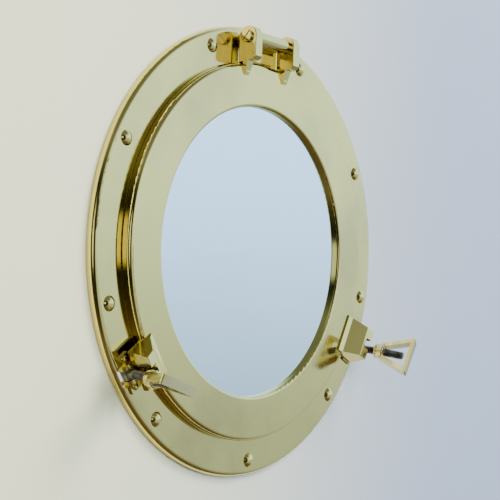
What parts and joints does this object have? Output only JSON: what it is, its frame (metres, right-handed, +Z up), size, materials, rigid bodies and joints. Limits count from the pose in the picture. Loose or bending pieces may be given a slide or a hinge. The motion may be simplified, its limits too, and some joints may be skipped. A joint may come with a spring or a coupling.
{
  "type": "opening porthole",
  "caption": "Round brass porthole with a mirror in a top-hinged door, closed by swing-bolt dogs with loop nuts, on a flat wall flange.",
  "frame": {"origin": "centre of the flange's back plane, on the wall", "axes": "+Z up towards the hinge, -Y out of the wall towards the viewer, +X to the right seen from the front"},
  "size_m": [0.3048, 0.0751, 0.3048],
  "materials": {
    "brass": "polished",
    "sheet_brass": "satin sheet",
    "bolt_metal": "dark oiled thread",
    "steel": "zinc plated",
    "mirror": "silvered glass",
    "felt": "thin black felt",
    "board": "brown hardboard",
    "rubber": "soft black ring"
  },
  "bodies": {
    "frame": {"flange_ring": "brass", "fixing_studs": "brass", "hinge_knuckle": "brass", "knuckle_screws": "steel", "dog_bracket_left": "brass", "dog_bracket_right": "brass", "bracket_rivets": "brass", "dog_pivot_pin_left": "bolt_metal", "dog_pivot_pin_right": "bolt_metal"},
    "door": {"door_ring": "brass", "mirror_pane": "mirror", "mirror_felt": "felt", "backing_board": "board", "retaining_ring": "sheet_brass", "retaining_screws": "steel", "door_gasket": "rubber", "hinge_arm_left": "brass", "hinge_arm_right": "brass", "arm_rivets": "brass", "hinge_pin": "brass", "hinge_pin_nut": "brass", "hinge_washers": "brass", "dog_lug_left": "brass", "dog_lug_right": "brass", "lug_rivets": "brass"},
    "dog_left": {"swing_bolt_left": "bolt_metal"},
    "nut_seat_left": {"dog_washer_left": "brass"},
    "nut_left": {"loop_nut_left": "brass"},
    "dog_right": {"swing_bolt_right": "bolt_metal"},
    "nut_seat_right": {"dog_washer_right": "brass"},
    "nut_right": {"loop_nut_right": "brass"}
  },
  "joints": [
    {"name": "door_hinge", "type": "hinge", "parent": "frame", "child": "door", "pos_m": [0, -0.0158, 0.1428], "axis": [-1, 0, 0], "range_deg": [0, 178]},
    {"name": "dog_swing_left", "type": "hinge", "parent": "frame", "child": "dog_left", "pos_m": [-0.11632, -0.005, -0.08145], "axis": [0.5736, 0, -0.8192], "range_deg": [-18, 50]},
    {"name": "nut_travel_left", "type": "slide", "parent": "dog_left", "child": "nut_seat_left", "axis": [-0.1422, -0.9848, -0.0996], "range_m": [-0.0009, 0.0099]},
    {"name": "nut_spin_left", "type": "hinge", "parent": "nut_seat_left", "child": "nut_left", "pos_m": [-0.11632, -0.005, -0.08145], "axis": [-0.1422, -0.9848, -0.0996], "range_deg": [-325, 3600]},
    {"name": "dog_swing_right", "type": "hinge", "parent": "frame", "child": "dog_right", "pos_m": [0.12719, -0.005, -0.06314], "axis": [0.4446, 0, 0.8957], "range_deg": [-25, 43]},
    {"name": "nut_travel_right", "type": "slide", "parent": "dog_right", "child": "nut_seat_right", "axis": [0.2619, -0.9563, -0.13], "range_m": [-0.0009, 0.0099]},
    {"name": "nut_spin_right", "type": "hinge", "parent": "nut_seat_right", "child": "nut_right", "pos_m": [0.12719, -0.005, -0.06314], "axis": [0.2619, -0.9563, -0.13], "range_deg": [-325, 3600]}
  ],
  "couplings": [
    {"joint": "nut_spin_left", "follows": "nut_travel_left", "rad_per_m": 6283.2},
    {"joint": "nut_spin_right", "follows": "nut_travel_right", "rad_per_m": 6283.2}
  ]
}
